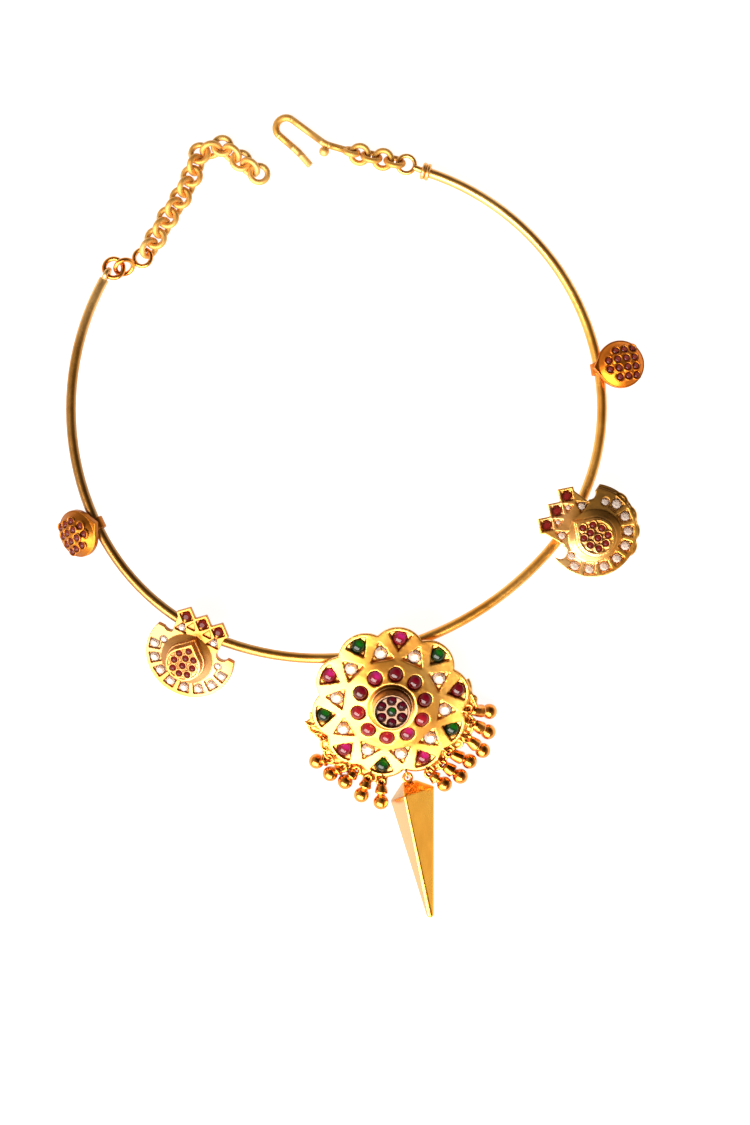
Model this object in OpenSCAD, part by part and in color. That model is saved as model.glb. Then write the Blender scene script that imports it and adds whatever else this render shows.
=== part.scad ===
// Temple choker necklace: a rigid gold wire with a ten-petal rosette, two crescents and two buds.
// It lies open on a flat surface at z = 0. The origin is the middle of the neck opening on that surface.
// +X is the wearer's left as it lies face up, +Y points to the open ends and +Z away from the surface.

/* [Neck wire] */
// Diameter of the neck wire
wire_d = 2.4; // [2.2:0.1:2.5]
// Height of the wire's axis above the surface at its right end
wire_start_z = 2.3; // [2.3:0.05:2.4]
// Slope of the collar: its front is lifted by the rosette, in degrees
collar_tilt = 3.1; // [3:0.1:3.2]
// Room between the wire and the bore of a bail, on each side
bail_gap = 0.15; // [0.1:0.05:0.2]

/* [Rosette] */
// Radius at the tips of the petals
petal_tip_r = 19; // [18.8:0.1:19.2]
// Radius of each petal's round edge
petal_edge_r = 6.46; // [6.4:0.02:6.5]
// Depth of the rim below the plate's face
rosette_depth = 1.8; // [1.6:0.1:1.9]
// Lean of the rosette's face away from the neck, in degrees
rosette_lean = 17; // [16:0.5:18]
// Diameter of the round stones in the petals
outer_stone_d = 3.45; // [3.2:0.05:3.5]
// Diameter of the rubies round the boss
inner_ruby_d = 3.5; // [3.2:0.05:3.6]
// Diameter of the clear stones
crystal_d = 3.1; // [2.8:0.05:3.2]
// Radius of the raised boss in the middle
boss_r = 4.2; // [4.1:0.1:4.4]
// Height of the boss above the petals
boss_top = 6; // [5.6:0.1:6.2]

/* [Drops and spike] */
// Diameter of each ball drop
ball_d = 3.74; // [3.6:0.02:3.74]
// Width of the rounding on the spike's long edges
spike_edge_d = 1; // [0.8:0.1:1.1]

/* [Crescents and buds] */
// Radius of a crescent's disc
disc_r = 10.5; // [10.4:0.1:10.7]
// Depth of a crescent's rim below its face
disc_depth = 1.5; // [1.4:0.1:1.6]
// Height of the teardrop collet above the face
collet_top = 3.8; // [3.5:0.1:4]
// Diameter of the small rubies in collets and buds
seed_d = 1.5; // [1.4:0.05:1.55]
// Radius of a bud's round end
bud_r = 5.7; // [5.6:0.1:5.8]

/* [Chain and hook] */
// Mean radius of a chain ring
ring_r = 2.08; // [2.07:0.01:2.1]
// Thickness of a chain ring's wire
ring_wire = 1.05; // [0.95:0.05:1.05]
// Thickness of the hook's wire
hook_wire = 1.5; // [1.3:0.1:1.6]

/* [Hidden] */
$fn = 48;
fine = 0.05;             // clearance round a stone in its seat
over = 0.5;              // how far a cut runs past the face that it opens
gold = "goldenrod";
ruby = "crimson";
emerald = "darkgreen";
crystal = "mistyrose";

// The collar's centre line: tangent bends from the right end, over the front, to the left end.
// Columns: straight length, turn in degrees (right is negative), radius of the bend.
LENGTH = 0;
TURN = 1;
RADIUS = 2;
COLLAR = [
    [0, -67.7, 60.3],
    [0, -47.4, 52.9],
    [0, -31.8, 75.8],
    [0, -36.3, 66.4],
    [0, -43.2, 54.3],
    [0, -55, 65.4]];
collar_start = [20.5, 56.2, wire_start_z];
collar_heading = -16.7;

// A bend of a round wire, its end frame, and a whole wire of lines and bends along +X
module bend(turn, radius, d) {
    side = sign(turn);
    translate([0, side * radius, 0])
        rotate([0, 0, side > 0 ? -90 : 90 + turn])
            rotate_extrude(angle = abs(turn), $fn = 96) translate([radius, 0]) circle(d = d, $fn = 24);
}

module past_bend(turn, radius) {
    translate([0, sign(turn) * radius, 0])
        rotate([0, 0, turn])
            translate([0, -sign(turn) * radius, 0]) children();
}

// A short sleeve closes the joint of two stretches; it is a hair thicker than the wire
sleeve_len = 0.6;
sleeve_extra = 0.03;
module sleeve(d) {
    translate([-sleeve_len / 2, 0, 0]) rotate([0, 90, 0])
        cylinder(d = d + sleeve_extra, h = sleeve_len, $fn = 24);
}

module bent_wire(rows, d, row = 0) {
    if (row < len(rows)) {
        if (row > 0) sleeve(d);
        if (rows[row][LENGTH] > 0) rotate([0, 90, 0]) cylinder(d = d, h = rows[row][LENGTH], $fn = 24);
        translate([rows[row][LENGTH], 0, 0]) {
            if (rows[row][LENGTH] > 0 && rows[row][TURN] != 0) sleeve(d);
            if (rows[row][TURN] != 0) bend(rows[row][TURN], rows[row][RADIUS], d);
            past_bend(rows[row][TURN], rows[row][RADIUS]) bent_wire(rows, d, row + 1);
        }
    }
}

// Puts children on the collar's centre line, a number of degrees into one of its bends: +X runs on
// along the wire, +Y points away from the neck and +Z out of the collar's plane
module on_bend(bend_no, turned, row = 0) {
    if (row == bend_no) past_bend(-turned, COLLAR[row][RADIUS]) children();
    else past_bend(COLLAR[row][TURN], COLLAR[row][RADIUS]) on_bend(bend_no, turned, row + 1) children();
}

module on_collar(bend_no, turned) {
    translate(collar_start) rotate([-collar_tilt, 0, 0]) rotate([0, 0, collar_heading])
        on_bend(bend_no, turned) children();
}

module torus(mean_r, wire, sides = 48) {
    rotate_extrude($fn = sides) translate([mean_r, 0]) circle(d = wire, $fn = 24);
}

// The rosette has its own place and lean. Its X and Y stay those of the surface, so that an angle
// on its rim reads the same from above; the bearing is the direction of the line that it leans about.
rosette_at = [13, -71.5, 8.1];
rosette_bearing = 6;

function turn_z(p, a) = [p[0] * cos(a) - p[1] * sin(a), p[0] * sin(a) + p[1] * cos(a), p[2]];
function turn_x(p, a) = [p[0], p[1] * cos(a) - p[2] * sin(a), p[1] * sin(a) + p[2] * cos(a)];
function from_rosette(p) =
    rosette_at + turn_z(turn_x(turn_z(p, -rosette_bearing), rosette_lean), rosette_bearing);

module at_rosette() {
    translate(rosette_at)
        rotate([0, 0, rosette_bearing]) rotate([rosette_lean, 0, 0]) rotate([0, 0, -rosette_bearing])
            children();
}

// The other ornaments hang on the collar. Columns: bend, degrees into it, lean of the face away from
// the neck, spin about the face, distance of the wire above the middle, depth of the wire behind the
// face, roll (a negative one lifts the ornament's own +X side)
BEND = 0;
TURNED = 1;
LEAN = 2;
SPIN = 3;
WIRE_UP = 4;
WIRE_BACK = 5;
ROLL = 6;
LEFT_CRESCENT = [4, 6.6, 28, 0, 5.7, disc_depth + 1.6, 0];
RIGHT_CRESCENT = [1, 36.6, 2, -3, 5.9, disc_depth + 2.4, -6];
LEFT_BUD = [5, 1.4, 38, 0, 4.2, 2.8, 0];
RIGHT_BUD = [0, 64, 8, 0, 4.8, 2.8, 0];

module hang(place) {
    on_collar(place[BEND], place[TURNED])
        rotate([0, 0, 180 + place[SPIN]])
            rotate([place[LEAN], place[ROLL], 0])
                translate([0, -place[WIRE_UP], place[WIRE_BACK]]) children();
}

// A tube on the wire with a post up into a plate, and the bore that the wire runs through
bail_wall = 0.6;
bail_len = 2.8;
post_len = 2.3;
post_w = 2;
module bail_body(bend_no, turned, lean, post_h) {
    on_collar(bend_no, turned) {
        translate([-bail_len / 2, 0, 0]) rotate([0, 90, 0])
            cylinder(d = wire_d + 2 * (bail_gap + bail_wall), h = bail_len, $fn = 32);
        rotate([0, 0, 180]) rotate([lean, 0, 0])
            translate([-post_len / 2, -post_w / 2, 0]) cube([post_len, post_w, post_h]);
    }
}

module bail_bore(bend_no, turned) {
    on_collar(bend_no, turned)
        translate([-bail_len, 0, 0]) rotate([0, 90, 0])
            cylinder(d = wire_d + 2 * bail_gap, h = 2 * bail_len, $fn = 32);
}

// Stones: a round cabochon, and a cut stone with a table and eight crown facets.
// Both stand on z = 0 with a straight girdle below.
module cabochon(d, girdle, dome) {
    dome_r = (d * d / 4 + dome * dome) / (2 * dome);
    cylinder(d = d, h = girdle, $fn = 32);
    translate([0, 0, girdle]) intersection() {
        translate([0, 0, dome - dome_r]) sphere(r = dome_r);
        translate([0, 0, -over / 2]) cylinder(d = d, h = dome + over, $fn = 32);
    }
}

module cut_stone(d, girdle, crown) {
    table = 0.55 * d;
    cylinder(d = d, h = girdle, $fn = 8);
    translate([0, 0, girdle]) cylinder(d1 = d, d2 = table, h = crown, $fn = 8);
}

module seat(d, floor_z) {
    translate([0, 0, floor_z]) cylinder(d = d + 2 * fine, h = 4, $fn = 32);
}

// Rosette: the face as height over radius, with a groove round the boss, then its cells and stones
DOME = [
    [0, 2.5], [4.9, 2.5], [6, 2.95], [8.2, 2.45],
    [10.4, 1.55], [12.4, 0.9], [15.6, 0.3], [petal_tip_r + 0.4, -0.3]];
petals = 10;
petal_step = 360 / petals;
first_petal = 83;
petal_mid_r = petal_tip_r - petal_edge_r;
rim_w = 0.9;
outer_stone_r = 16.2;
inner_ruby_r = 8;
crystal_r = 12.95;
petal_floor = -0.7;
crystal_floor = -0.1;
ruby_floor = 1.25;
seat_depth = 0.5;
boss_stone_d = 1.95;
boss_stone_r = 2.75;
boss_flare = 0.8;
boss_rim = 0.4;
boss_floor = boss_top - 0.35;

function petal_angle(k) = first_petal - petal_step * k;

edge_depth = 1;
edge_step = 0.5;

module petal_outline(inset) {
    circle(r = petal_mid_r + 1);
    for (k = [0 : petals - 1]) rotate(petal_angle(k)) translate([petal_mid_r, 0])
        circle(r = petal_edge_r - inset);
}

// A petal's cell opens outwards from its tip; a clear stone's cell is a triangle between two petals
petal_cell_tip = 13.3;
petal_cell_len = 7;
petal_cell_half = 4.9;
crystal_cell_out = 15.8;
crystal_cell_in = 11.3;
crystal_cell_half = 2.75;

module petal_cell() {
    far = petal_cell_tip + petal_cell_len;
    intersection() {
        translate([petal_mid_r, 0]) circle(r = petal_edge_r - rim_w);
        polygon([[petal_cell_tip, 0], [far, petal_cell_half], [far, -petal_cell_half]]);
    }
}

module crystal_cell() {
    polygon([
        [crystal_cell_out, 0],
        [crystal_cell_in, crystal_cell_half],
        [crystal_cell_in, -crystal_cell_half]]);
}

// Loops of the rim for the drops, and where each ball lies on the surface.
// Columns: angle of the loop, how far out and how far below the face it sits, ball x, ball y
ANGLE = 0;
OUT = 1;
BELOW = 2;
BALL_X = 3;
BALL_Y = 4;
DROPS = [
    [-7, 1, 0.6, 36.7, -73.9],
    [-16, 0.7, 0.6, 36.4, -78.8],
    [-27, 0.6, 0.6, 35.1, -83.3],
    [-43, 1, 0.6, 31.9, -85.9],
    [-52, 0.7, 0.6, 29.7, -89.5],
    [-63, 0.5, 0.6, 25.9, -91.4],
    [-96, 0.5, 0.6, 10.6, -95.7],
    [-105.5, 0.5, 0.6, 5.9, -94],
    [-115, 1, 0.6, 2, -90.8],
    [-124.5, 0.6, 0.6, -1.6, -88.9],
    [-135, 0.7, 0.6, -4.9, -85.9],
    [-150, 1, 0.6, -2.4, -79.6],
    [-163, 0.6, 1.3, -4.3, -75.6]];
loop_r = 0.9;
loop_wire = 0.5;

function off_petal(angle) =
    let (past = first_petal - angle, over_petal = past - petal_step * floor(past / petal_step))
    over_petal > petal_step / 2 ? over_petal - petal_step : over_petal;
function rim_radius(angle) =
    petal_mid_r * cos(off_petal(angle))
    + sqrt(pow(petal_edge_r, 2) - pow(petal_mid_r * sin(off_petal(angle)), 2));
function loop_place(row) =
    let (r = rim_radius(row[ANGLE]) + row[OUT]) [r * cos(row[ANGLE]), r * sin(row[ANGLE]), -row[BELOW]];

// The spike's loop on the rim is a size larger
SPIKE_LOOP = [-78, 1.2, 0.8];
spike_loop_r = 1.3;
spike_loop_wire = 0.6;

module rim_loop(row, mean_r, wire) {
    translate(loop_place(row)) rotate([0, 0, row[ANGLE]]) rotate([90, 0, 0]) torus(mean_r, wire, 32);
}

module rosette_body() {
    intersection() {
        union() {
            translate([0, 0, -edge_depth]) linear_extrude(edge_depth + boss_top) petal_outline(0);
            translate([0, 0, -rosette_depth]) linear_extrude(rosette_depth) petal_outline(edge_step);
        }
        rotate_extrude($fn = 96)
            polygon(concat(DOME, [[petal_tip_r + 0.4, -rosette_depth], [0, -rosette_depth]]));
    }
    cylinder(r1 = boss_r + boss_flare, r2 = boss_r, h = boss_top);
    for (row = DROPS) rim_loop(row, loop_r, loop_wire);
    rim_loop(SPIKE_LOOP, spike_loop_r, spike_loop_wire);
}

module on_petal(k, r, z) {
    rotate(petal_angle(k)) translate([r, 0, z]) children();
}

module on_boss(k, z) {
    if (k == 0) translate([0, 0, z]) children();
    else rotate(30 + 60 * k) translate([boss_stone_r, 0, z]) children();
}

module rosette_cuts() {
    for (k = [0 : petals - 1]) {
        rotate(petal_angle(k)) translate([0, 0, petal_floor]) linear_extrude(4) petal_cell();
        on_petal(k, outer_stone_r, petal_floor) seat(outer_stone_d, -seat_depth);
        on_petal(k, inner_ruby_r, ruby_floor) seat(inner_ruby_d, 0);
        rotate(petal_angle(k + 0.5)) translate([0, 0, crystal_floor]) linear_extrude(4) crystal_cell();
        on_petal(k + 0.5, crystal_r, crystal_floor) seat(crystal_d, -seat_depth);
    }
    translate([0, 0, boss_floor]) cylinder(r = boss_r - boss_rim, h = 2);
    for (k = [0 : 6]) on_boss(k, boss_floor) seat(boss_stone_d, -seat_depth);
}

// Bails behind the plate. Columns: degrees into the front bend, height of the post
FRONT_BEND = 3;
POST = 1;
ROSETTE_BAILS = [[0.8, 2.5], [9.5, 2.1]];

module rosette_plate() color(gold) difference() {
    union() {
        at_rosette() difference() {
            rosette_body();
            rosette_cuts();
        }
        for (bail = ROSETTE_BAILS) bail_body(FRONT_BEND, bail[0], rosette_lean, bail[POST]);
    }
    for (bail = ROSETTE_BAILS) bail_bore(FRONT_BEND, bail[0]);
}

module outer_stone(number) color(number % 2 == 1 ? ruby : emerald) at_rosette()
    on_petal(number - 1, outer_stone_r, petal_floor - seat_depth + fine) cabochon(outer_stone_d, 0.65, 1.15);

module inner_ruby(number) color(ruby) at_rosette()
    on_petal(number - 1, inner_ruby_r, ruby_floor + fine) cabochon(inner_ruby_d, 0.6, 1.15);

module rosette_crystals() color(crystal) at_rosette()
    for (k = [0 : petals - 1]) on_petal(k + 0.5, crystal_r, crystal_floor - seat_depth + fine)
        cut_stone(crystal_d, 0.7, 0.75);

module boss_emerald() color(emerald) at_rosette()
    on_boss(0, boss_floor - seat_depth + fine) cabochon(boss_stone_d, 0.5, 0.55);

module boss_rubies() color(ruby) at_rosette()
    for (k = [1 : 6]) on_boss(k, boss_floor - seat_depth + fine) cabochon(boss_stone_d, 0.5, 0.55);

// A ball drop: an eye through its rim loop, a tapered stem and the ball on the surface
drop_eye_r = 0.75;
drop_stem_d = 0.7;
drop_neck_d = 2.2;
module drop(number) {
    row = DROPS[number - 1];
    loop = from_rosette(loop_place(row));
    outward = from_rosette(loop_place(row) + [cos(row[ANGLE]), sin(row[ANGLE]), 0]) - loop;
    upward = from_rosette(loop_place(row) + [0, 0, 1]) - loop;
    ball = [row[BALL_X], row[BALL_Y], ball_d / 2];
    // The eye hangs from the point of the loop that is nearest to the ball
    out = (ball - loop) * outward;
    up = (ball - loop) * upward;
    held = loop + (out * outward + up * upward) * loop_r / norm([out, up]);
    along = ball - held;
    length = norm(along);
    stem_from = drop_eye_r + 0.1;
    color(gold) translate(held) rotate([0, acos(along[2] / length), atan2(along[1], along[0])]) {
        translate([0, 0, 0.1]) rotate([0, 90, 0]) torus(drop_eye_r, loop_wire, 32);
        translate([0, 0, stem_from]) cylinder(d1 = drop_stem_d, d2 = drop_neck_d, h = length - stem_from);
        translate([0, 0, length]) sphere(d = ball_d);
    }
}

// The spike: three long edges from its widest place to the tip, a short shoulder and an eye.
// Columns: x, y, z of the middle of each rounded corner
SPIKE_WIDEST = [
    [13.5, -95.6, spike_edge_d / 2],
    [16.4, -94, 6.3],
    [22.9, -92.4, spike_edge_d / 2]];
spike_tip = [22.45, -122.8, 0.9];
SPIKE_NECK = [[16.3, -91.9, 1.1], [19, -91.4, 1.1]];
spike_neck_d = 1.8;
spike_eye_r = 1;
spike_eye_wire = 0.75;

module spike() color(gold) {
    hull() {
        for (corner = SPIKE_WIDEST) translate(corner) sphere(d = spike_edge_d, $fn = 16);
        translate(spike_tip) sphere(r = spike_tip[2], $fn = 24);
    }
    hull() {
        for (corner = SPIKE_WIDEST) translate(corner) sphere(d = spike_edge_d, $fn = 16);
        for (corner = SPIKE_NECK) translate(corner) sphere(d = spike_neck_d, $fn = 16);
    }
    place = loop_place(SPIKE_LOOP);
    reach = spike_loop_r + 0.05;
    eye = from_rosette(place + [reach * cos(SPIKE_LOOP[ANGLE]), reach * sin(SPIKE_LOOP[ANGLE]), 0]);
    translate(eye) torus(spike_eye_r, spike_eye_wire, 32);
}

// A teardrop outline with its point towards +Y
module teardrop(r, tip) {
    side = acos(r / tip) + 12;
    circle(r = r);
    polygon([[0, tip], [r * sin(side), r * cos(side)], [-r * sin(side), r * cos(side)]]);
}

// Crescent: a disc with two notches, a fan-shaped neck and a crest of three diamond cells. Its collet
// stands on a step in the middle of a low cone.
CREST_X = [-4.2, 0, 4.2];
crest_depth = 1.1;
post_top = 0.65;         // how far below the face the bail's post ends
crest_cell = 3.8;
crest_opening = 2.6;
crest_stone_d = 2.2;
crest_floor = -0.6;
CREST_FOOT = [5.6, 0];
crest_half_w = 6.2;
notch_r = 1.5;
back_drop = 0.5;         // the back of the disc starts this far below the face
rim_stone_d = 2.2;
rim_stone_r = 8.75;
rim_ring_y = 0.4;
rim_floor = -0.65;
rim_stones = 8;
rim_from = -10;          // degrees of the first and of the last stone on the rim
rim_to = -170;
rim_cell_in = 1.7;
rim_cell_out = 1.15;
rim_cell_half = [1.05, 1.45];
cone_r = 6.4;
cone_top_r = 4.7;
cone_h = 1.2;
step_r = 4.75;
step_tip = 6.5;
step_top = 1.9;
collet_r = 4.3;
collet_tip = 6;
collet_wall = 0.55;
collet_y = -0.8;
collet_floor = collet_top - 0.3;
NECK_STONES = [[-4.2, 5.9], [4.2, 5.9]];
CREST_GAPS_X = [-2.1, 2.1];
gap_below = 1.8;
gap_cell_r = 1.4;
neck_cell_r = 1.9;
horn_stone_d = 1.8;
gap_stone_d = 1.05;

// The two crescents differ a little, as handmade ones do. Columns: middle of the disc, how much wider
// it is, how far its back is shifted, distance of the crest above the middle, and its two horns
DISC_AT = 0;
DISC_MORE = 1;
BACK_AT = 2;
CREST_UP = 3;
HORNS = 4;
// Columns of a horn: its side, height of its end, its notch and its stone
SIDE = 0;
END_Y = 1;
NOTCH = 2;
STONE = 3;
LEFT_SHAPE = [[0.25, 0], 0.3, [0.1, 0], 9.1, [
    [-1, 4.1, [-6.9, 5.1], [-7, 1]],
    [1, 3.7, [7.3, 4], [7.4, 0.9]]]];
RIGHT_SHAPE = [[0.35, 0.5], 0.2, [0.8, 0.3], 10.2, [
    [-1, 4.2, [-7.8, 3.9], [-7.05, 1.35]],
    [1, 5.3, [7.7, 6.1], [8.1, 1.9]]]];
COLLET_SEEDS = [
    [0, 3.1],
    [-1.9, 1.55], [0, 1], [1.9, 1.55],
    [-2.4, -0.6], [0, -1.15], [2.4, -0.6],
    [-1.9, -2.75], [0, -3.4], [1.9, -2.75]];

module crest_outline(up) {
    polygon([[-CREST_FOOT[0], 0], CREST_FOOT, [crest_half_w, up], [-crest_half_w, up]]);
    for (x = CREST_X) translate([x, up]) rotate(45) square(crest_cell, center = true);
}

module on_rim(shape, k, z) {
    translate([shape[DISC_AT][0], shape[DISC_AT][1] + rim_ring_y, z])
        rotate(rim_from + (rim_to - rim_from) / (rim_stones - 1) * k)
            translate([rim_stone_r + shape[DISC_MORE], 0, 0]) children();
}

module disc(at, r, top, bottom) {
    translate([at[0], at[1], bottom]) cylinder(r = r, h = top - bottom, $fn = 72);
}

module crescent_body(shape) {
    r = disc_r + shape[DISC_MORE];
    cut_h = disc_depth + 2 * over;
    difference() {
        union() {
            disc(shape[DISC_AT], r, 0, -disc_depth);
            disc(shape[DISC_AT] + shape[BACK_AT], r, -back_drop, -disc_depth);
        }
        for (horn = shape[HORNS]) {
            translate([horn[SIDE] > 0 ? 0 : -2 * disc_r, horn[END_Y], -disc_depth - over])
                cube([2 * disc_r, 2 * disc_r, cut_h]);
            translate([horn[NOTCH][0], horn[NOTCH][1], -disc_depth - over]) cylinder(r = notch_r, h = cut_h);
        }
    }
    translate([0, 0, -crest_depth]) linear_extrude(crest_depth) crest_outline(shape[CREST_UP]);
    translate([0, collet_y, -over]) cylinder(r = cone_r, h = over);
    translate([0, collet_y, 0]) cylinder(r1 = cone_r, r2 = cone_top_r, h = cone_h);
    translate([0, collet_y, -over]) linear_extrude(step_top + over) teardrop(step_r, step_tip);
    translate([0, collet_y, -over]) linear_extrude(collet_top + over) teardrop(collet_r, collet_tip);
}

module rim_cell() {
    polygon([
        [-rim_cell_in, -rim_cell_half[0]], [rim_cell_out, -rim_cell_half[1]],
        [rim_cell_out, rim_cell_half[1]], [-rim_cell_in, rim_cell_half[0]]]);
}

module three_sided(r) {
    rotate(90) cylinder(r = r, h = 4, $fn = 3);
}

module crescent_cuts(shape) {
    for (k = [0 : rim_stones - 1]) on_rim(shape, k, rim_floor) {
        linear_extrude(-rim_floor + cone_h + over) rim_cell();
        seat(rim_stone_d, -seat_depth / 2);
    }
    for (horn = shape[HORNS]) translate([horn[STONE][0], horn[STONE][1], rim_floor]) seat(horn_stone_d, 0);
    for (at = NECK_STONES) translate([at[0], at[1], rim_floor]) {
        three_sided(neck_cell_r);
        seat(horn_stone_d, -seat_depth / 2);
    }
    for (x = CREST_X) translate([x, shape[CREST_UP], crest_floor]) {
        rotate(45) translate([-crest_opening / 2, -crest_opening / 2, 0])
            cube([crest_opening, crest_opening, 4]);
        seat(crest_stone_d, -seat_depth / 2);
    }
    for (x = CREST_GAPS_X) translate([x, shape[CREST_UP] - gap_below, crest_floor]) three_sided(gap_cell_r);
    translate([0, collet_y, collet_floor]) linear_extrude(2)
        teardrop(collet_r - collet_wall, collet_tip - 0.7);
    for (at = COLLET_SEEDS) translate([at[0], at[1], collet_floor]) seat(seed_d, -0.3);
}

module crescent(place, shape) color(gold) difference() {
    union() {
        hang(place) difference() {
            crescent_body(shape);
            crescent_cuts(shape);
        }
        bail_body(place[BEND], place[TURNED], place[LEAN], place[WIRE_BACK] - post_top);
    }
    bail_bore(place[BEND], place[TURNED]);
}

module collet_rubies(place) color(ruby) hang(place)
    for (at = COLLET_SEEDS) translate([at[0], at[1], collet_floor - 0.3 + fine]) cabochon(seed_d, 0.35, 0.45);

module crest_rubies(place, shape) color(ruby) hang(place)
    for (x = CREST_X) translate([x, shape[CREST_UP], crest_floor - seat_depth / 2 + fine]) rotate(22.5)
        cut_stone(crest_stone_d, 0.45, 0.55);

module crescent_crystals(place, shape, gap_stones) color(crystal) hang(place) {
    for (k = [0 : rim_stones - 1]) on_rim(shape, k, rim_floor - seat_depth / 2 + fine)
        cut_stone(rim_stone_d, 0.5, 0.5);
    for (horn = shape[HORNS]) translate([horn[STONE][0], horn[STONE][1], rim_floor + fine])
        cut_stone(horn_stone_d, 0.25, 0.45);
    for (at = NECK_STONES) translate([at[0], at[1], rim_floor - seat_depth / 2 + fine])
        cut_stone(horn_stone_d, 0.5, 0.5);
    if (gap_stones) for (x = CREST_GAPS_X) translate([x, shape[CREST_UP] - gap_below, crest_floor + fine])
        cut_stone(gap_stone_d, 0.2, 0.3);
}

// Bud: a domed teardrop with its point on the wire. Columns of the rows of rubies: y, how many
BUD_ROWS = [[3.2, 2], [1.15, 4], [-0.95, 4], [-3.05, 4]];
bud_depth = 1;
bud_top = 2.5;
bud_pitch = 2.1;
bud_tip = 6.7;
bud_ball_r = (bud_r * bud_r + bud_top * bud_top) / (2 * bud_top);
function bud_z(x, y) = bud_top - bud_ball_r + sqrt(pow(bud_ball_r, 2) - x * x - y * y);

module on_bud(below) {
    for (row = BUD_ROWS) for (k = [0 : row[1] - 1]) {
        x = bud_pitch * (k - (row[1] - 1) / 2);
        translate([x, row[0], bud_z(x, row[0]) - below]) children();
    }
}

module bud(place) color(gold) difference() {
    union() {
        hang(place) difference() {
            union() {
                translate([0, 0, -bud_depth]) linear_extrude(bud_depth + 0.3) teardrop(bud_r, bud_tip);
                translate([0, 0, bud_top - bud_ball_r]) difference() {
                    sphere(r = bud_ball_r, $fn = 96);
                    translate([0, 0, -bud_top]) cube([30, 30, 2 * bud_ball_r], center = true);
                }
            }
            on_bud(0.45) cylinder(d = seed_d + 2 * fine, h = 2, $fn = 24);
        }
        bail_body(place[BEND], place[TURNED], place[LEAN], place[WIRE_BACK] - 0.6);
    }
    bail_bore(place[BEND], place[TURNED]);
}

module bud_rubies(place) color(ruby) hang(place) on_bud(0.45 - fine) cabochon(seed_d, 0.3, 0.45);

// Rings stand on their lower edge. Columns: x, y, z, direction of the chain, roll about it,
// mean radius, thickness of the wire
module ring(at, heading, roll, mean_r, wire) {
    translate(at) rotate([roll, 0, heading]) torus(mean_r, wire);
}

chain_z = 2.3;
face_roll = -8;
side_roll = 55;
// Middles of the rings that lie face up, from the collar to the free end: x, y
CHAIN = [
    [-43.55, 39.95], [-40.65, 44.95], [-37.55, 49.7], [-34.91, 54.88],
    [-33.01, 60.32], [-27.56, 62.11], [-23.08, 58.61], [-18.72, 55.41]];
// The short chain at the hook, from the collar's eye
SHORT_CHAIN = [[16.7, 57.7], [11.1, 58.9], [5.5, 60.1]];
RING_3 = [-46.68, 35.22, 2.52];

function heading(from, to) = atan2(to[1] - from[1], to[0] - from[0]);
function between(from, to) = [(from[0] + to[0]) / 2, (from[1] + to[1]) / 2, chain_z];

module jump_ring_1() color(gold) ring([-53.5, 32.54, 3.58], 19, -2, 2.3, 0.85);
module jump_ring_2() color(gold) ring([-51, 32.87, 3.38], 26, 50, 2.15, 0.8);
module jump_ring_3() color(gold) ring(RING_3, 40, -12, 2.1, 0.75);

module chain() color(gold) {
    ring(between(RING_3, CHAIN[0]), heading(RING_3, CHAIN[0]), side_roll, ring_r, ring_wire);
    for (k = [0 : len(CHAIN) - 1]) {
        from = CHAIN[max(k - 1, 0)];
        to = CHAIN[min(k + 1, len(CHAIN) - 1)];
        ring([CHAIN[k][0], CHAIN[k][1], chain_z], heading(from, to), face_roll, ring_r, ring_wire);
    }
    for (k = [1 : len(CHAIN) - 1])
        ring(between(CHAIN[k - 1], CHAIN[k]), heading(CHAIN[k - 1], CHAIN[k]), side_roll, ring_r, ring_wire);
}

module hook_links() color(gold) {
    last = len(SHORT_CHAIN) - 1;
    for (k = [1 : last]) {
        way = heading(SHORT_CHAIN[k - 1], SHORT_CHAIN[k]);
        ring([SHORT_CHAIN[k][0], SHORT_CHAIN[k][1], chain_z], way, face_roll, ring_r, ring_wire);
        ring(between(SHORT_CHAIN[k - 1], SHORT_CHAIN[k]), way, side_roll, ring_r, ring_wire);
    }
}

// The hook: an eye, a shank with a ball knob, a bend back and a slightly splayed point.
// Columns as for the collar
HOOK = [
    [3.9, -20, 6],
    [9, 176, 2.45],
    [4.6, -8, 20],
    [3, 0, 1]];
hook_at = [3.45, 60.75, 2.2];
hook_heading = 163;
hook_dip = 4.3;
hook_eye_r = 1.6;
hook_eye_wire = 1.2;
knob_r = 1.1;
knob_at = [6.3, 1.75, 0];

module hook() color(gold) translate(hook_at) rotate([0, hook_dip, hook_heading]) {
    rotate([60, 0, 0]) torus(hook_eye_r, hook_eye_wire);
    translate([hook_eye_r, 0, 0]) bent_wire(HOOK, hook_wire);
    translate([knob_at[0], 0, 0]) rotate([-90, 0, 0]) cylinder(d = 1.3, h = knob_at[1]);
    translate(knob_at) sphere(r = knob_r);
}

// The neck wire: its eye for the left chain stands upright, its eye for the hook's chain lies flat
// on a thinner tail, and two turns of wire are wrapped round the neck of that tail
left_eye_r = 1.3;
left_eye_wire = 1.2;
tail_d = 1.5;
tail_eye_wire = 1.05;
wrap_wire = 1;
wrap_bite = 0.1;
WRAPS_X = [0.4, 1.45];
tail_in = 0.8;

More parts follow.
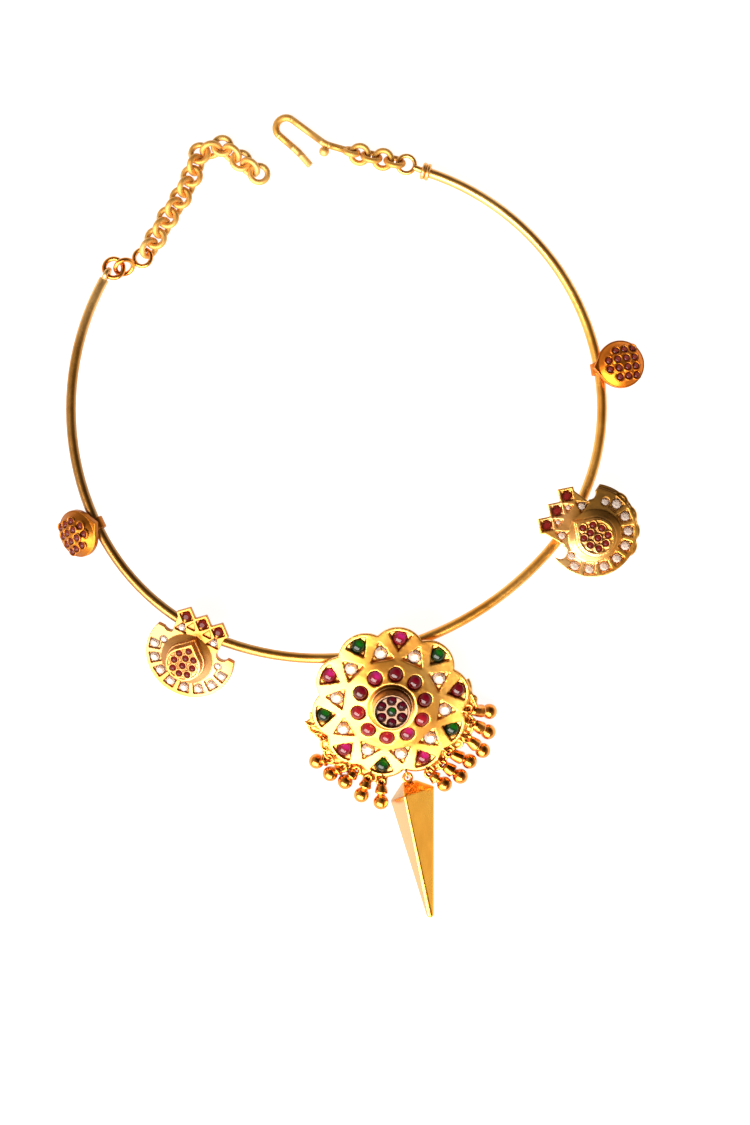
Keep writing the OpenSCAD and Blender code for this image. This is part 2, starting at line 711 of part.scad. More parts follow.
module neck_wire() color(gold) {
    translate(collar_start) rotate([-collar_tilt, 0, 0]) rotate([0, 0, collar_heading]) {
        bent_wire(COLLAR, wire_d);
        for (x = WRAPS_X) translate([x, 0, 0]) rotate([0, 90, 0])
            torus((wire_d + wrap_wire) / 2 - wrap_bite, wrap_wire);
    }
    on_collar(len(COLLAR) - 1, -COLLAR[len(COLLAR) - 1][TURN]) translate([left_eye_r, 0, 0])
        rotate([90, 0, 0]) torus(left_eye_r, left_eye_wire);
    eye = [SHORT_CHAIN[0][0], SHORT_CHAIN[0][1], chain_z];
    way = heading(collar_start, eye);
    tail = norm(eye - collar_start) - ring_r;
    translate(eye) torus(ring_r, tail_eye_wire);
    translate(collar_start) rotate([0, 90, way]) translate([0, 0, -tail_in])
        cylinder(d = tail_d, h = tail + tail_in, $fn = 32);
}

neck_wire();
rosette_plate();
boss_emerald();
boss_rubies();
for (n = [1 : petals]) {
    outer_stone(n);
    inner_ruby(n);
}
rosette_crystals();
for (n = [1 : len(DROPS)]) drop(n);
spike();
crescent(LEFT_CRESCENT, LEFT_SHAPE);  // left_crescent
collet_rubies(LEFT_CRESCENT);  // left_collet_rubies
crest_rubies(LEFT_CRESCENT, LEFT_SHAPE);  // left_crest_rubies
crescent_crystals(LEFT_CRESCENT, LEFT_SHAPE, false);  // left_crystals
crescent(RIGHT_CRESCENT, RIGHT_SHAPE);  // right_crescent
collet_rubies(RIGHT_CRESCENT);  // right_collet_rubies
crest_rubies(RIGHT_CRESCENT, RIGHT_SHAPE);  // right_crest_rubies
crescent_crystals(RIGHT_CRESCENT, RIGHT_SHAPE, true);  // right_crystals
bud(LEFT_BUD);  // left_bud
bud_rubies(LEFT_BUD);  // left_bud_rubies
bud(RIGHT_BUD);  // right_bud
bud_rubies(RIGHT_BUD);  // right_bud_rubies
jump_ring_1();
jump_ring_2();
jump_ring_3();
chain();
hook_links();
hook();
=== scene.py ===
import math

import bpy
import bmesh
import numpy as np
from mathutils import Matrix, Vector


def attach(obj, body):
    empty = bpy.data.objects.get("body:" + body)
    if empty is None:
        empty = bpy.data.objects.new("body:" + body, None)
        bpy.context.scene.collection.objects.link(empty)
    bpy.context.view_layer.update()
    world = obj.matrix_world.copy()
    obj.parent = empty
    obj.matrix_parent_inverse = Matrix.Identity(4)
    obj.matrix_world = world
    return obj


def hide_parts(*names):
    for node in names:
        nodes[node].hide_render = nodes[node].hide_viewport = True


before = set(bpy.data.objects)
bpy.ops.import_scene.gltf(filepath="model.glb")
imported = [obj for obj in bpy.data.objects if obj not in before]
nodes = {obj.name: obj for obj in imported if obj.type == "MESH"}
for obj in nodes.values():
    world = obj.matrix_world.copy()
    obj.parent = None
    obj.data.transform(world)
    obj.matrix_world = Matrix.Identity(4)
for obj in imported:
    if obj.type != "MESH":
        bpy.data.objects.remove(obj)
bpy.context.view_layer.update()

# Blender works in metres. Shapes and places below are in millimetres of the same frame, unless a comment
# says otherwise.
MM = 0.001
PER_METRE = 1000
UP = Vector((0, 0, 1))
EAST = 0
HEIGHT = 2

PETALS = 10
DROPS = 13
JUMP_RINGS = 3

# The rosette as the CAD has it: the middle of its face, how far the axis of its lean is turned, and the lean
ROSETTE_AT = (13, -71.5, 8.1)
ROSETTE_TURN = math.radians(6)
ROSETTE_LEAN = math.radians(17)
ROSETTE = (Matrix.Translation(ROSETTE_AT) @ Matrix.Rotation(ROSETTE_TURN, 4, "Z")
           @ Matrix.Rotation(ROSETTE_LEAN, 4, "X") @ Matrix.Rotation(-ROSETTE_TURN, 4, "Z"))
ROSETTE_UP = (ROSETTE.to_3x3() @ UP).normalized()

# Its petals: bearing of the first and angle between two, in degrees, then distance and radius of their edges
FIRST_PETAL = 83
PETAL_STEP = 360 / PETALS
PETAL_AWAY = 12.54
PETAL_EDGE_R = 6.46

# Its domed face in the CAD, as radius and height, without the groove round the boss and the cells
DOME = [(0, 2.95), (6, 2.95), (8.2, 2.45), (10.4, 1.55), (12.4, 0.9), (15.6, 0.3), (19.4, -0.3), (30, -2)]

# Radius of a ball drop, which lies on the floor
BALL_R = 1.87

# Linear colours
WHITE = (1.0, 1.0, 1.0)
DEEP_GOLD = (0.78, 0.31, 0.035)
WARM_GOLD = (0.88, 0.39, 0.06)
PALE_GOLD = (0.96, 0.52, 0.12)
# The colour of the painted shade in the gold's hollows
SHADE_AND_PATINA_COLOUR = (0.42, 0.135, 0.014)
LIT_SIDE = (0.70, 0.43, 0.20)
# Painted shade on the boss's wall and on its top round its stones
BOSS_WALL_SHADE = (0.17, 0.062, 0.01)
BOSS_TOP_SHADE = (0.11, 0.048, 0.018)
# Painted shade on a collet's floor
COLLET_FLOOR_SHADE = (0.24, 0.095, 0.018)

# In metres: how far a hollow's shade reaches, and the depth of dents, scratches and a stone's unevenness
HOLLOW_REACH = 0.0011
DENT_DEPTH = 0.00012
SCRATCH_DEPTH = 0.00002
SKIN_DEPTH = 0.00001

# How much rougher full patina is, how far a stone's clouds move its colour, and how rough its skin is
PATINA_ROUGH = 0.22
CLOUDED = 0.3
SKIN_ROUGH = (0.05, 0.11)

# Where the tints of the west and of the east end are full
WEST_TO_EAST = (-60.0, 50.0)

# In metres: vertices closer than this are one, and the lowest that a thickened wire may reach
WELD = 1e-6
LOWEST = 0.00003

# Directions: the side of a stone away from the window, where its glow is painted, and the room's dark corner
FAR_SIDE = (0.36, 0.52, 0.77)
DARK_CORNER = (0.36, 0.50, 0.79)

# Heights for a patch that has no lower edge: it fades in far under the floor
ANY_HEIGHT = (-50, -49)


# Shader helpers
def tree_of(name):
    material = bpy.data.materials.new(name)
    material.use_nodes = True
    material.node_tree.nodes.clear()
    return material, material.node_tree


def put(tree, kind, sockets=None, **props):
    """Adds a node. A socket's value is a plain value, or another node's output to link."""
    made = tree.nodes.new(kind)
    for key, value in props.items():
        setattr(made, key, value)
    for key, value in (sockets or {}).items():
        if isinstance(value, bpy.types.NodeSocket):
            tree.links.new(value, made.inputs[key])
        else:
            made.inputs[key].default_value = value
    return made


def maths(tree, operation, *values):
    """A number worked out from one to three numbers."""
    return put(tree, "ShaderNodeMath", dict(enumerate(values)), operation=operation).outputs[0]


def vectors(tree, operation, *values):
    """A vector worked out from vectors, or the number that a dot product or a length gives."""
    made = put(tree, "ShaderNodeVectorMath", dict(enumerate(values)), operation=operation)
    return made.outputs["Value" if operation in ("DOT_PRODUCT", "LENGTH") else "Vector"]


def coordinate(tree, vector, axis):
    return put(tree, "ShaderNodeSeparateXYZ", {0: vector}).outputs[axis]


def ramp(tree, value, stops):
    """The colour for a number between 0 and 1; each stop is a position and its colour."""
    made = put(tree, "ShaderNodeValToRGB", {"Fac": value})
    cells = made.color_ramp.elements
    while len(cells) < len(stops):
        cells.new(0.5)
    for cell, (at, colour) in zip(cells, stops):
        cell.position = at
        cell.color = (*colour, 1)
    return made.outputs["Color"]


def scaled(tree, value, before=(0.0, 1.0), after=(0.0, 1.0)):
    """Takes a number from one range to another and holds it at the ends."""
    made = put(tree, "ShaderNodeMapRange", {
        "Value": value, "From Min": before[0], "From Max": before[1], "To Min": after[0], "To Max": after[1]})
    return made.outputs["Result"]


def mixed(tree, share, one, two, blend="MIX"):
    """Colour one with a share of colour two."""
    made = put(tree, "ShaderNodeMix", data_type="RGBA", blend_type=blend)
    for key, value in ((0, share), (6, one), (7, two)):
        if isinstance(value, bpy.types.NodeSocket):
            tree.links.new(value, made.inputs[key])
        else:
            made.inputs[key].default_value = value if key == 0 else (*value, 1)
    return made.outputs[2]


def in_mm(tree):
    """The point of the surface, in millimetres of the shared frame."""
    place = put(tree, "ShaderNodeTexCoord").outputs["Object"]
    return put(tree, "ShaderNodeVectorMath", {0: place, "Scale": PER_METRE}, operation="SCALE").outputs[0]


def noise(tree, where, scale, detail=3.0, rough=0.5):
    return put(tree, "ShaderNodeTexNoise", {
        "Vector": where, "Scale": scale, "Detail": detail, "Roughness": rough}).outputs["Fac"]


def along_collar(tree, where):
    """Distance from the neck's middle, height and way round, so that a noise runs along the wire."""
    x, y, z = put(tree, "ShaderNodeSeparateXYZ", {0: where}).outputs
    away = maths(tree, "SQRT", maths(tree, "MULTIPLY_ADD", y, y, maths(tree, "MULTIPLY", x, x)))
    turn = maths(tree, "ARCTAN2", y, x)
    return put(tree, "ShaderNodeCombineXYZ", {0: away, 1: z, 2: turn}).outputs[0]


def surface(tree, sockets):
    shader = put(tree, "ShaderNodeBsdfPrincipled", sockets)
    put(tree, "ShaderNodeOutputMaterial", {"Surface": shader.outputs[0]})


def patch(new, place, radii, most=1.0, up=UP, heights=ANY_HEIGHT):
    """Makes a function that blends a new colour in round an axis through a place.

    The patch is full inside the first radius and gone at the second. Along the axis it fades in
    between the two heights above the place. most is the share of the new colour where it is full.
    """
    def blend(tree, where, colour):
        off = vectors(tree, "SUBTRACT", where, tuple(place))
        level = vectors(tree, "DOT_PRODUCT", off, tuple(up))
        away = vectors(tree, "LENGTH", vectors(tree, "CROSS_PRODUCT", off, tuple(up)))
        share = maths(tree, "MULTIPLY", scaled(tree, away, radii, (most, 0.0)), scaled(tree, level, heights))
        return mixed(tree, share, colour, new)
    return blend


def gold(name, rough, grain, coat, lumps=0.3, shade_and_patina=0.8, tone=None, across=None, patches=(),
         scratched_along=False, lit_side=False):
    """Worn high-carat gold: uneven colour and polish, painted shade in its hollows, which are rougher
    as patinated gold is, and bright worn edges.

    rough is its least and most roughness, grain the strength of its scratches and lumps how close
    its dents lie. tone is a tint for all of it, and across is one for its west end and one for its
    east end. scratched_along runs the scratches along the collar, and lit_side pales its west side.
    """
    material, tree = tree_of(name)
    where = in_mm(tree)
    wide = noise(tree, where, scale=0.11, detail=4.0)
    colour = ramp(tree, wide, [(0.3, DEEP_GOLD), (0.5, WARM_GOLD), (0.72, PALE_GOLD)])
    # Hollows get painted shade in their colour, and the roughness that patina gives
    open_air = put(tree, "ShaderNodeAmbientOcclusion", {"Distance": HOLLOW_REACH}, samples=6).outputs["AO"]
    hollow_shade_and_patina = scaled(tree, open_air, (0.25, 0.85), (shade_and_patina, 0.0))
    colour = mixed(tree, hollow_shade_and_patina, colour, SHADE_AND_PATINA_COLOUR)
    edge = put(tree, "ShaderNodeNewGeometry").outputs["Pointiness"]
    colour = mixed(tree, scaled(tree, edge, (0.52, 0.6), (0.0, 0.7)), colour, PALE_GOLD)
    if tone:
        colour = mixed(tree, 1.0, colour, tone, "MULTIPLY")
    if across:
        ends = mixed(tree, scaled(tree, coordinate(tree, where, EAST), WEST_TO_EAST), *across)
        colour = mixed(tree, 1.0, colour, ends, "MULTIPLY")
    for blend in patches:
        colour = blend(tree, where, colour)
    if lit_side:
        normal = put(tree, "ShaderNodeNewGeometry").outputs["Normal"]
        to_west = scaled(tree, coordinate(tree, normal, EAST), (-0.75, -0.1), (1.0, 0.0))
        colour = mixed(tree, to_west, colour, LIT_SIDE)
    worn = maths(tree, "MULTIPLY", noise(tree, where, scale=2.3, detail=4.0, rough=0.6), wide)
    dull = maths(tree, "MULTIPLY_ADD", hollow_shade_and_patina, PATINA_ROUGH, scaled(tree, worn, (0.12, 0.4), rough))
    dents = put(tree, "ShaderNodeBump", {
        "Height": noise(tree, where, scale=lumps, detail=2.0), "Strength": 1.0, "Distance": DENT_DEPTH})
    if scratched_along:
        scratch = noise(tree, along_collar(tree, where), scale=4.0, detail=3.0)
    else:
        scratch = noise(tree, where, scale=7.0, detail=2.0)
    bump = put(tree, "ShaderNodeBump", {
        "Height": scratch, "Normal": dents.outputs[0], "Strength": grain, "Distance": SCRATCH_DEPTH})
    surface(tree, {
        "Base Color": colour, "Metallic": 1.0, "Roughness": dull, "Normal": bump.outputs[0],
        "Coat Weight": coat, "Coat Roughness": 0.2, "Coat IOR": 1.6})
    return material


def gem(name, near, body, far, clear=0.25, ior=1.6, shine=0.3):
    """A stone, clouded inside and polished outside.

    Light from the window gathers on its far side, and this glow is painted into its colour, which runs
    from the near side through its body to the far side. clear is how much light goes through it, and
    shine how much its skin sends back.
    """
    material, tree = tree_of(name)
    where = in_mm(tree)
    cloud = noise(tree, where, scale=0.55)
    normal = put(tree, "ShaderNodeNewGeometry").outputs["Normal"]
    # A painted glow towards the far side, moved about by the stone's clouds
    glow_and_cloud = maths(tree, "MULTIPLY_ADD", cloud, CLOUDED, vectors(tree, "DOT_PRODUCT", normal, FAR_SIDE))
    skin = noise(tree, where, scale=5.0, detail=2.0)
    bump = put(tree, "ShaderNodeBump", {"Height": skin, "Strength": 0.25, "Distance": SKIN_DEPTH})
    surface(tree, {
        "Base Color": ramp(tree, scaled(tree, glow_and_cloud, (0.6, 1.1)), [(0.0, near), (0.55, body), (1.0, far)]),
        "Roughness": scaled(tree, skin, after=SKIN_ROUGH), "IOR": ior, "Transmission Weight": clear,
        "Normal": bump.outputs[0], "Specular IOR Level": shine,
        "Coat Weight": 0.5 * shine, "Coat Roughness": 0.03})
    return material


# Shapes made from points
def arc(middle, radius, one, two, turns):
    """Points round a middle, at angles in radians that run from direction one to direction two."""
    return [middle + radius * (math.cos(turn) * one + math.sin(turn) * two) for turn in turns]


def circle(middle, radius, one, two, steps=24):
    return arc(middle, radius, one, two, [2 * math.pi * step / steps for step in range(steps)])


def wire(shape, points, radius, up, closed=False, sides=8):
    """Adds a round wire through points. up is a direction that it never runs along.

    radius is one number, or a list with one for each point.
    """
    rings = []
    last = len(points) - 1
    for index, point in enumerate(points):
        back = points[index - 1] if index > 0 or closed else point
        ahead = points[(index + 1) % len(points)] if index < last or closed else point
        along = (ahead - back).normalized()
        side = along.cross(up).normalized()
        over = side.cross(along)
        thick = radius[index] if isinstance(radius, list) else radius
        rings.append([shape.verts.new(place) for place in circle(point, thick, side, over, sides)])
    for one, two in zip(rings, rings[1:] + (rings[:1] if closed else [])):
        for corner in range(sides):
            beside = (corner + 1) % sides
            shape.faces.new((one[corner], one[beside], two[beside], two[corner]))
    if not closed:
        shape.faces.new(rings[0][::-1])
        shape.faces.new(rings[-1])


def rim(angle, more, height):
    """A point outside the petals' edge by more: its bearing in degrees, its height in the rosette's frame."""
    turn = math.radians((FIRST_PETAL - angle + PETAL_STEP / 2) % PETAL_STEP - PETAL_STEP / 2)
    half_chord = math.sqrt(PETAL_EDGE_R ** 2 - (PETAL_AWAY * math.sin(turn)) ** 2)
    away = PETAL_AWAY * math.cos(turn) + half_chord + more
    bearing = math.radians(angle)
    return ROSETTE @ Vector((away * math.cos(bearing), away * math.sin(bearing), height))


def curls(shape, start, stop):
    """Small curls of wire beside the lower rim, from one bearing to another, and the rail under them."""
    # In degrees: from one curl to the next, and how far each one swings to both sides
    pitch = 7
    swing = 2.3
    turns = np.arange(0, 2 * math.pi * (stop - start) / pitch, 0.5)
    path = [rim(start + pitch * turn / (2 * math.pi) + swing * math.sin(turn),
                more=1.25 + 0.75 * math.cos(turn), height=-1.0 + 0.2 * math.sin(turn)) for turn in turns]
    rail = [rim(angle, more=1.15, height=-1.5) for angle in range(start, stop, 3)]
    wire(shape, path, radius=0.34, up=ROSETTE_UP)
    wire(shape, rail, radius=0.45, up=ROSETTE_UP)


def rosette_extra(shape):
    """The bead and curls beside the lower rim, the strip by the first drop, and the boss's edge."""
    bead = [rim(angle, more=0.25, height=-1.35) for angle in range(-172, 20, 3)]
    wire(shape, bead, radius=0.5, up=ROSETTE_UP)
    curls(shape, -63, 6)
    curls(shape, -167, -92)
    strip = [(31.4, -67.9, 7.6), (32.6, -70.4, 7.0), (33.4, -72.3, 6.0), (35.3, -73.4, 3.6)]
    wire(shape, [Vector(point) for point in strip], radius=0.5, up=ROSETTE_UP)
    across, along = (ROSETTE.to_3x3() @ Vector(axis) for axis in ((1, 0, 0), (0, 1, 0)))
    boss_top = ROSETTE @ Vector((0, 0, 5.8))
    boss_edge = circle(boss_top, 4.3, across, along, steps=48)
    wire(shape, boss_edge, radius=0.2, up=ROSETTE_UP, closed=True)


def drop_extra(shape):
    """A bell over the ball and a thicker ring on its stem. The ball is the part that touches the floor."""
    lowest = min(shape.verts, key=lambda vert: vert.co.z).co
    ball = Vector((lowest.x, lowest.y, BALL_R))
    tip = max(shape.verts, key=lambda vert: (vert.co - ball).length).co - ball
    back = tip.normalized()
    reach = tip.length - 1
    side = back.cross(UP).normalized()
    # Distance from the ball's middle and radius, from the ring down over the lip and in under it
    bell = [(reach - 0.5, 0.9), (reach - 1.0, 1.25), (max(0.62 * reach, 2.7), 1.5),
            (2.5, 1.62), (2.15, 1.55), (1.95, 0.9), (1.3, 0.9)]
    wire(shape, [ball + at * back for at, _ in bell], [radius for _, radius in bell], up=side, sides=20)
    ring = circle(ball + reach * back, 0.9, back, side)
    wire(shape, ring, radius=0.5, up=back.cross(side), closed=True)


# Stones of the CAD, which the scene's trim and colours follow
def welded(node_name):
    """A copy of a node, in metres, without the splits that its mesh has between its faces."""
    shape = bmesh.new()
    shape.from_mesh(nodes[node_name].data)
    bmesh.ops.remove_doubles(shape, verts=shape.verts, dist=WELD)
    return shape


def loose_parts(shape):
    """The vertices of each part of a shape that no edge joins to the rest."""
    seen = set()
    for first in shape.verts:
        if first in seen:
            continue
        seen.add(first)
        part = [first]
        for vert in part:
            for edge in vert.link_edges:
                other = edge.other_vert(vert)
                if other not in seen:
                    seen.add(other)
                    part.append(other)
        yield part


def stones_of(node_name):
    """Middle, axis and radius of each stone of a node. The axis is the way that the stone is flattest."""
    shape = welded(node_name)
    found = []
    for part in loose_parts(shape):
        points = np.array([vert.co * PER_METRE for vert in part])
        middle = (points.min(0) + points.max(0)) / 2
        _, _, axes = np.linalg.svd(points - points.mean(0), full_matrices=False)
        axis = axes[2] * (1 if axes[2][2] > 0 else -1)
        away = points - middle
        across = away - np.outer(away @ axis, axis)
        found.append((Vector(middle), Vector(axis), float(np.linalg.norm(across, axis=1).max())))
    shape.free()
    return found


def middle_of(stones):
    return sum((place for place, _, _ in stones), Vector()) / len(stones)


def bezels(node_name, more, thick, lift=0.0):
    """Makes a function that adds a ring of wire round each stone of a node, outside it by more."""
    def add(shape):
        for middle, axis, radius in stones_of(node_name):
            one = axis.orthogonal().normalized()
            ring = circle(middle + lift * axis, radius + more, one, axis.cross(one), steps=20)
            wire(shape, ring, radius=thick, up=axis, closed=True, sides=6)
    return add


def collet_bezels(side):
    return bezels(f"{side}_collet_rubies", more=0.17, thick=0.2, lift=0.05)


def scallops(shape):
    """The bulges of the right crescent's edge, each outside one of its clear stones on the right."""
    # Only stones that lie at least this far east and north of the collet's middle have one
    least_east = 3.6
    least_north = -4.5
    middle = middle_of(stones_of("right_collet_rubies"))
    for place, axis, _ in stones_of("right_crystals"):
        out = place - middle
        if out.x >= least_east and out.y >= least_north:
            out = (out - out.dot(axis) * axis).normalized()
            turns = np.arange(-0.92, 1.0, 0.23)
            bulge = arc(place - 0.4 * axis, 2.3, out, axis.cross(out), turns)
            wire(shape, bulge, radius=0.6, up=axis)


def right_extra(shape):
    """The bezels and scallops of the right crescent."""
    collet_bezels("right")(shape)
    scallops(shape)


def collet_shade(side):
    """Painted shade, a darker brown, on the floor of a collet round its stones."""
    stones = stones_of(f"{side}_collet_rubies")
    return patch(COLLET_FLOOR_SHADE, middle_of(stones), (2.7, 3.5), 0.8, up=stones[0][1], heights=(-0.9, -0.4))


# Materials. A patch follows the light and shade that the photo has at its place.
GOLD_ROSETTE = gold("gold_rosette", rough=(0.3, 0.4), grain=0.2, coat=0.6, patches=[
    # Painted shade on the boss's upper wall and on its top
    patch(BOSS_WALL_SHADE, ROSETTE @ Vector((0.45, 0.8, 0)), (4.8, 5.3), 0.9, up=ROSETTE_UP, heights=(2.1, 2.5)),
    patch(BOSS_TOP_SHADE, ROSETTE.translation, (4.05, 4.2), up=ROSETTE_UP, heights=(4.8, 5.2))])
GOLD_BUD = gold("gold_bud", rough=(0.34, 0.44), grain=0.25, coat=0.03, shade_and_patina=1.0,
                tone=(0.62, 0.42, 0.26), across=((0.74, 0.74, 0.74), (1.22, 1.08, 0.9)))
GOLD_WIRE = gold("gold_wire", rough=(0.31, 0.41), grain=0.2, coat=0.25, scratched_along=True,
                 tone=(0.9, 0.88, 0.84), across=((0.8, 0.84, 0.95), (1.13, 1.16, 1.3)), patches=[
                     # Painted shade over the wire's south-west part, and painted light on its north-west and
                     # north-east parts
                     patch((0.24, 0.11, 0.03), (-58, -42, 0), (24, 76), 0.72),
                     patch((1.0, 0.62, 0.25), (-63, 31, 0), (3, 19), 0.75),
                     patch((1.0, 0.66, 0.30), (52, 66, 0), (10, 48), 0.55)])
GOLD_CHAIN = gold("gold_chain", rough=(0.55, 0.65), grain=0.4, coat=0.1, shade_and_patina=0.2, tone=(0.86, 1.04, 1.7))
GOLD_DROP = gold("gold_drop", rough=(0.16, 0.26), grain=0.3, coat=0.4, lumps=0.6, shade_and_patina=0.9,
                 tone=(0.96, 0.76, 0.5))
GOLD_SPIKE = gold("gold_spike", rough=(0.2, 0.3), grain=0.05, coat=0.06, lumps=0.12,
                  tone=(1.12, 1.0, 0.6), lit_side=True)
GOLD_LEFT = gold("gold_left_crescent", rough=(0.4, 0.48), grain=0.2, coat=0.3,
                 tone=(0.66, 0.55, 0.5), patches=[
                     # Painted shade towards the crescent's west edge, painted light to the south-east of it,
                     # and painted shade on its collet's floor
                     patch((0.34, 0.20, 0.08), (-43, -57, 0), (2, 9), 0.7),
                     patch((0.72, 0.43, 0.18), (-31, -65.5, 0), (2, 7), 0.8),
                     collet_shade("left")])
GOLD_RIGHT = gold("gold_right_crescent", rough=(0.28, 0.38), grain=0.2, coat=0.3, patches=[
    # Painted shade towards the crescent's east edge, painted light to the south-west and west of it, and
    # painted shade on its collet's floor
    patch((0.26, 0.12, 0.02), (63.5, -24, 0), (3.5, 8.5), 0.85),
    patch((1.0, 0.62, 0.26), (57, -37, 0), (3, 9), 0.75),
    patch((1.0, 0.54, 0.22), (52, -26.5, 0), (2, 5.5), 0.7),
    collet_shade("right")])

RUBY = gem("ruby", (0.08, 0.001, 0.002), (0.12, 0.001, 0.006), (0.20, 0.002, 0.015))
RED_RUBY = gem("red_ruby", (0.20, 0.004, 0.006), (0.34, 0.006, 0.012), (0.42, 0.01, 0.03))
PINK_RUBY = gem("pink_ruby", (0.14, 0.002, 0.008), (0.30, 0.003, 0.035), (0.72, 0.025, 0.26))
DARK_RUBY = gem("dark_ruby", (0.10, 0.006, 0.005), (0.17, 0.010, 0.009), (0.30, 0.026, 0.022),
                clear=0.2, ior=1.5, shine=0.08)
NIGHT_RUBY = gem("night_ruby", (0.03, 0.001, 0.003), (0.06, 0.001, 0.006), (0.16, 0.004, 0.02),
                 ior=1.5, shine=0.1)
BUD_RUBY = gem("bud_ruby", (0.10, 0.010, 0.008), (0.18, 0.022, 0.018), (0.30, 0.06, 0.045),
               clear=0.2, ior=1.5, shine=0.1)
EMERALD = gem("emerald", (0.002, 0.012, 0.003), (0.003, 0.035, 0.005), (0.008, 0.17, 0.008), ior=1.5)
CRYSTAL = gem("crystal", (0.86, 0.74, 0.66), (0.66, 0.55, 0.48), (0.48, 0.36, 0.29), clear=0.5)

# The rosette's stones, one for each petal
INNER = [RUBY, RUBY, RUBY, RED_RUBY, PINK_RUBY, RED_RUBY, RED_RUBY, RED_RUBY, RUBY, PINK_RUBY]
OUTER = [PINK_RUBY, EMERALD, RUBY, EMERALD, PINK_RUBY, EMERALD, PINK_RUBY, EMERALD, PINK_RUBY, EMERALD]


# CAD nodes whose shape stays
def dress(name, material):
    slots = nodes[name].data.materials
    slots.clear()
    slots.append(material)


dress("neck_wire", GOLD_WIRE)
dress("spike", GOLD_SPIKE)
for number, (inner, outer) in enumerate(zip(INNER, OUTER), 1):
    dress(f"inner_ruby_{number}", inner)
    dress(f"outer_stone_{number}", outer)
for name in nodes:
    if name.endswith("crystals"):
        dress(name, CRYSTAL)
    elif name.endswith(("collet_rubies", "crest_rubies")):
        dress(name, DARK_RUBY)
    elif name.endswith("bud_rubies"):
        dress(name, BUD_RUBY)
dress("boss_emerald", EMERALD)
dress("boss_rubies", NIGHT_RUBY)


# Pieces that stand for CAD nodes
def add_object(name, data):
    made = bpy.data.objects.new(name, data)
    bpy.context.scene.collection.objects.link(made)
    return made


def stand_for(piece, node_name):
    """Puts a gold piece in the place of a CAD node."""
    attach(piece, "root")
    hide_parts(node_name)


def applied(piece):
    """The mesh that a piece's modifiers give. It leaves none on the piece."""
    graph = bpy.context.evaluated_depsgraph_get()
    mesh = bpy.data.meshes.new_from_object(piece.evaluated_get(graph))
    piece.modifiers.clear()
    return mesh


def cast(name, node_name, material, voxel, limit=190000, smooth=5, extra=None, after=None):
    """A copy of a cast node with its edges rounded as a casting's are.

    In millimetres, extra adds trim to it, the whole is remeshed and relaxed, and after moves its
    vertices. Then it is thinned to its limit of triangles.
    """
    shape = bmesh.new()
    shape.from_mesh(nodes[node_name].data)
    bmesh.ops.scale(shape, vec=(PER_METRE, PER_METRE, PER_METRE), verts=shape.verts)
    if extra:
        extra(shape)
    raw = bpy.data.meshes.new(name + "_raw")
    shape.to_mesh(raw)
    shape.free()
    piece = add_object(name, raw)
    remesh = piece.modifiers.new("remesh", "REMESH")
    remesh.mode = "VOXEL"
    remesh.voxel_size = voxel * 1
    relax = piece.modifiers.new("relax", "SMOOTH")
    relax.factor = 0.5
    relax.iterations = smooth
    done = applied(piece)
    if after:
        after(done)
    triangles = sum(len(face.vertices) - 2 for face in done.polygons)
    if triangles > limit:
        piece.data = done
        thin = piece.modifiers.new("thin", "DECIMATE")
        thin.ratio = limit / triangles
        done = applied(piece)
    done.transform(Matrix.Scale(MM, 4))
    done.name = name
    done.shade_smooth()
    piece.data = done
    done.materials.clear()
    done.materials.append(material)
    stand_for(piece, node_name)


def soften_dome(mesh):
    """Turns the facets of the dome's profile into one curve, outside the boss and down to the rim."""
    # The profile is averaged over the window to each side. The change fades in past the boss and above the
    # foot, and it ends at the dome's radius.
    window = 3
    boss_r = 5.6
    boss_fade = 1.5
    dome_r = 20
    foot = -1.6
    foot_fade = 1.2
    at, height = zip(*DOME)
    radius = np.arange(0, 22, 0.1)
    shifts = np.linspace(-window, window, 21)
    soft = sum(np.interp(radius + shift, at, height) for shift in shifts) / len(shifts)
    change = (soft - np.interp(radius, at, height)) * np.clip((radius - boss_r) / boss_fade, 0, 1)
    back = ROSETTE.inverted()
    for vert in mesh.vertices:
        local = back @ vert.co
        away = math.hypot(local.x, local.y)
        if away < dome_r and local.z > foot:
            fade = min(1, (local.z - foot) / foot_fade)
            vert.co += ROSETTE_UP * float(np.interp(away, radius, change)) * fade


def thicken(name, node_name, more, material):
    """A copy of a node of round wire, with the wire's radius larger by more. It stays above the floor."""
    shape = welded(node_name)
    shape.normal_update()
    for vert in shape.verts:
        vert.co += vert.normal * more * MM
        vert.co.z = max(vert.co.z, LOWEST)
    mesh = bpy.data.meshes.new(name)
    shape.to_mesh(mesh)
    shape.free()
    mesh.shade_smooth()
    mesh.materials.append(material)
    stand_for(add_object(name, mesh), node_name)


cast("rosette_cast", "rosette_plate", GOLD_ROSETTE, voxel=0.16, smooth=8, extra=rosette_extra,
     after=soften_dome)
cast("left_crescent_cast", "left_crescent", GOLD_LEFT, voxel=0.13, limit=150000, extra=collet_bezels("left"))
cast("right_crescent_cast", "right_crescent", GOLD_RIGHT, voxel=0.13, limit=150000, extra=right_extra)
for side in ("left", "right"):
    cast(f"{side}_bud_cast", f"{side}_bud", GOLD_BUD, voxel=0.11, limit=60000, smooth=4,
         extra=bezels(f"{side}_bud_rubies", more=0.28, thick=0.26))
for number in range(1, DROPS + 1):
    cast(f"drop_cast_{number}", f"drop_{number}", GOLD_DROP, voxel=0.11, limit=12000, smooth=3,
         extra=drop_extra)
for number in range(1, JUMP_RINGS + 1):
    thicken(f"jump_ring_thick_{number}", f"jump_ring_{number}", 0.16, GOLD_DROP)
for name, more in (("chain", 0.17), ("hook_links", 0.14), ("hook", 0.12)):
    thicken(f"{name}_thick", name, more, GOLD_CHAIN)


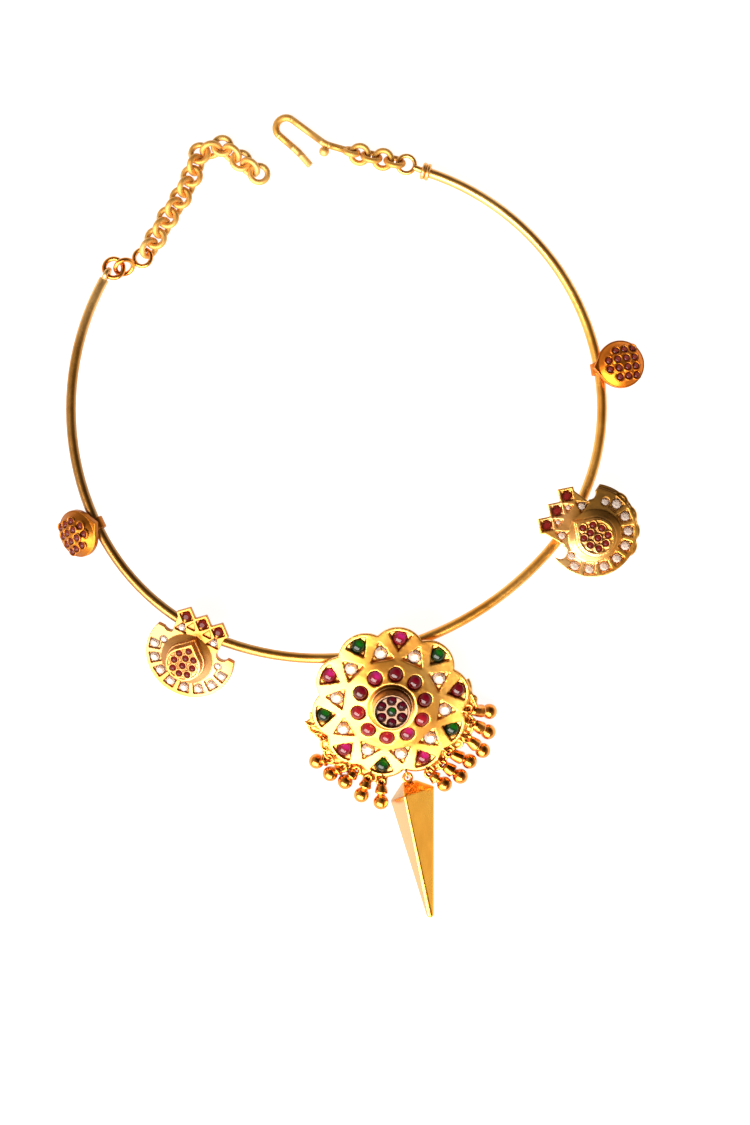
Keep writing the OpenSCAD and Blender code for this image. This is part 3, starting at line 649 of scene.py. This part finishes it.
# Floor, room, window and camera, in metres
def lay_floor():
    """White paper, a little uneven. It glows, so that it stays white although it takes in most light."""
    half = 3
    corners = [(-half, -half, 0), (half, -half, 0), (half, half, 0), (-half, half, 0)]
    paper, tree = tree_of("floor_white")
    spot = noise(tree, in_mm(tree), scale=0.02, detail=2.0)
    surface(tree, {
        "Base Color": ramp(tree, spot, [(0.3, (0.22, 0.215, 0.21)), (0.7, (0.24, 0.235, 0.23))]),
        "Roughness": 0.8, "Specular IOR Level": 0.2,
        "Emission Color": (1.0, 0.985, 0.97, 1), "Emission Strength": 0.95})
    mesh = bpy.data.meshes.new("floor")
    mesh.from_pydata(corners, [], [(0, 1, 2, 3)])
    mesh.materials.append(paper)
    floor = add_object("floor", mesh)


def light_room():
    """A pale room, bright along its horizon, with a dark corner up to the right that the wire mirrors."""
    world = bpy.data.worlds.new("studio")
    bpy.context.scene.world = world
    world.use_nodes = True
    tree = world.node_tree
    tree.nodes.clear()
    way = put(tree, "ShaderNodeTexCoord").outputs["Generated"]
    height = coordinate(tree, way, HEIGHT)
    room = ramp(tree, height, [
        (0.0, (0.95, 0.88, 0.79)), (0.12, (0.85, 0.78, 0.69)),
        (0.35, (0.50, 0.46, 0.40)), (1.0, (0.42, 0.38, 0.33))])
    east = scaled(tree, coordinate(tree, way, EAST), (-0.6, 0.6))
    dim = ramp(tree, east, [(0.0, WHITE), (1.0, (0.5, 0.47, 0.43))])
    dim = mixed(tree, scaled(tree, height, (0.08, 0.3)), WHITE, dim)
    shade = ramp(tree, vectors(tree, "DOT_PRODUCT", way, DARK_CORNER), [
        (0.58, WHITE), (0.77, (0.62, 0.60, 0.57)), (0.90, (0.24, 0.20, 0.16)), (0.97, (0.12, 0.09, 0.065))])
    for colour in (dim, shade):
        room = mixed(tree, 1.0, room, colour, "MULTIPLY")
    shine = put(tree, "ShaderNodeBackground", {"Color": room, "Strength": 1.0})
    put(tree, "ShaderNodeOutputWorld", {"Surface": shine.outputs[0]})


def light_window():
    """One wide soft light from the front left, aimed at the necklace."""
    data = bpy.data.lights.new("key", "AREA")
    data.shape = "RECTANGLE"
    data.size, data.size_y = 1.4, 0.75
    data.energy = 33
    data.color = (1.0, 0.97, 0.92)
    window = add_object("key", data)
    window.location = (-0.30, -0.68, 0.66)
    way = Vector((0.005, -0.04, 0)) - window.location
    window.rotation_euler = way.to_track_quat("-Z", "Y").to_euler()


def place_camera():
    """A camera straight above the necklace, which frames it as the photo does."""
    data = bpy.data.cameras.new("camera")
    data.lens = 66.22
    data.sensor_width = 36
    data.clip_start, data.clip_end = 0.01, 20
    camera = add_object("camera", data)
    camera.location = (0.00918, -0.03805, 0.5)
    bpy.context.scene.camera = camera


lay_floor()
light_room()
light_window()
place_camera()
bpy.context.scene.view_settings.view_transform = "Standard"
